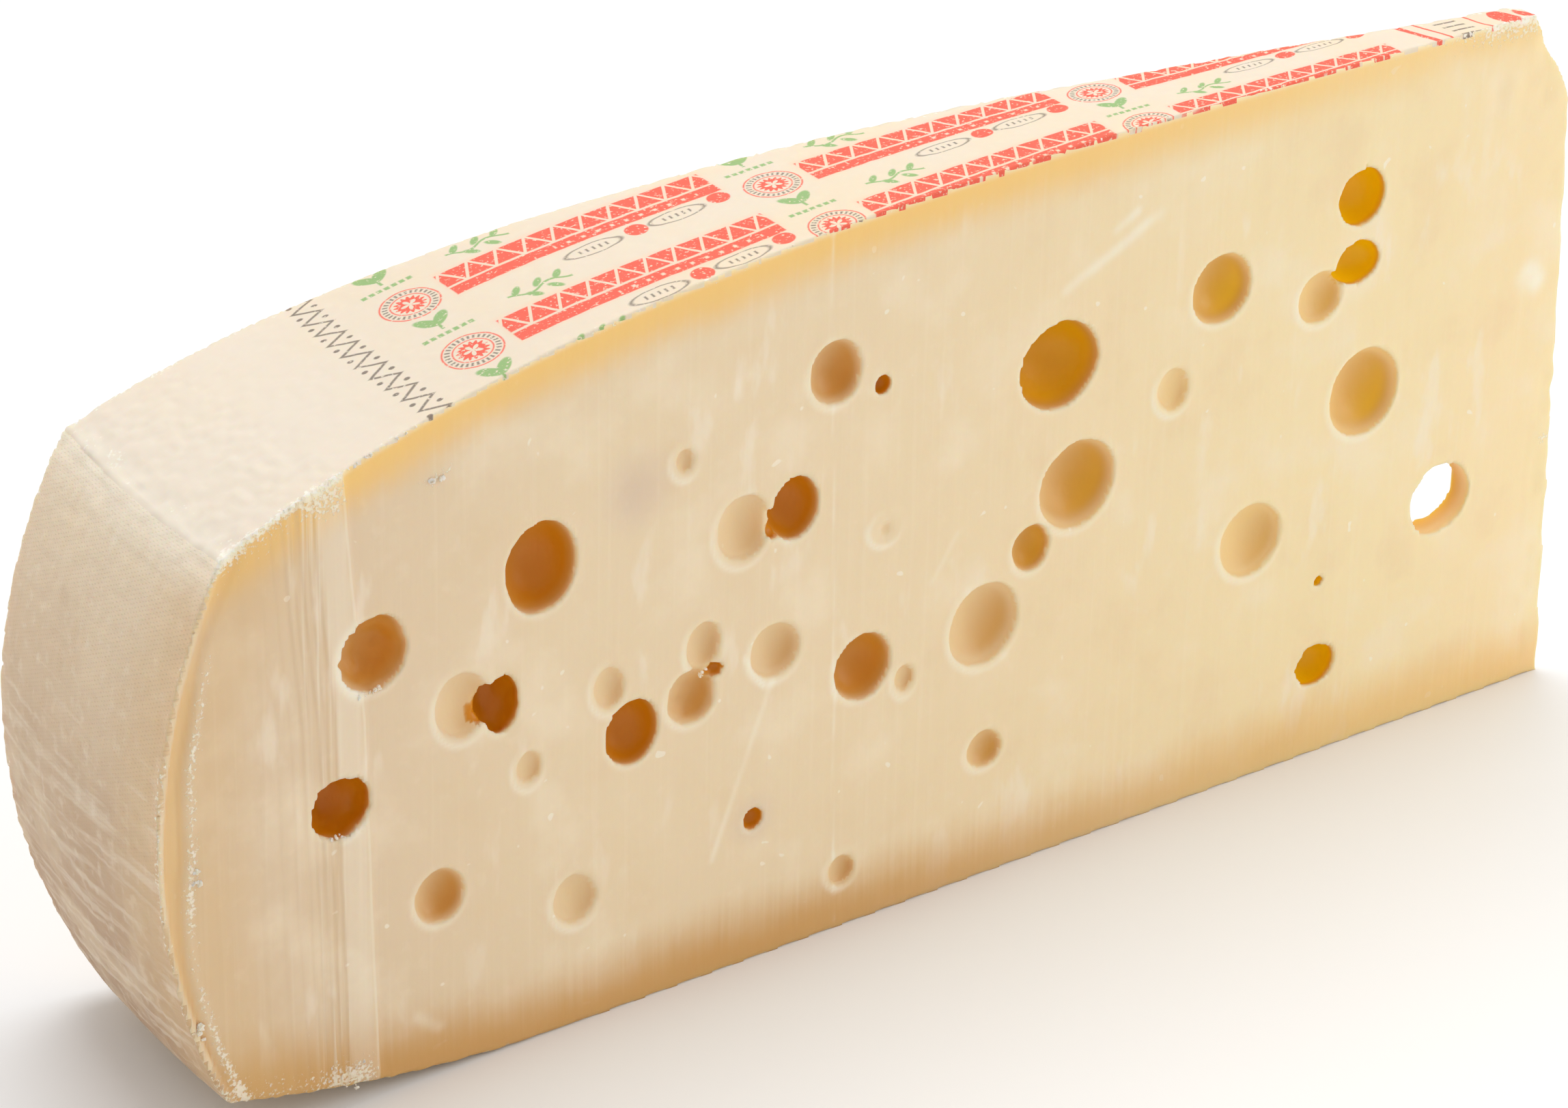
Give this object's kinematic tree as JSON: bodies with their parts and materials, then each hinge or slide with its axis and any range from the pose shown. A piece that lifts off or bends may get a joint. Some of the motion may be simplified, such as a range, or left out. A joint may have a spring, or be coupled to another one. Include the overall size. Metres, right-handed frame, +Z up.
{
  "type": "cheese wedge",
  "caption": "Long wedge cut from a big round wheel of hard cheese, with open eyes in both cut faces, a domed top rind and a thin tip, standing on its flat base.",
  "frame": {"origin": "middle of the wedge's box, on the surface that it stands on", "axes": "+Z up; the wedge's centre line runs along X with the rim at -X and the thin tip at +X; the cut faces look toward -Y and +Y"},
  "size_m": [0.458, 0.0882, 0.205],
  "materials": {
    "cheese": "soft satin cheese paste, with a dry tan rind on the rim and a creamy rind on the top"
  },
  "bodies": {
    "root": {"cheese_wedge": "cheese"}
  },
  "joints": []
}
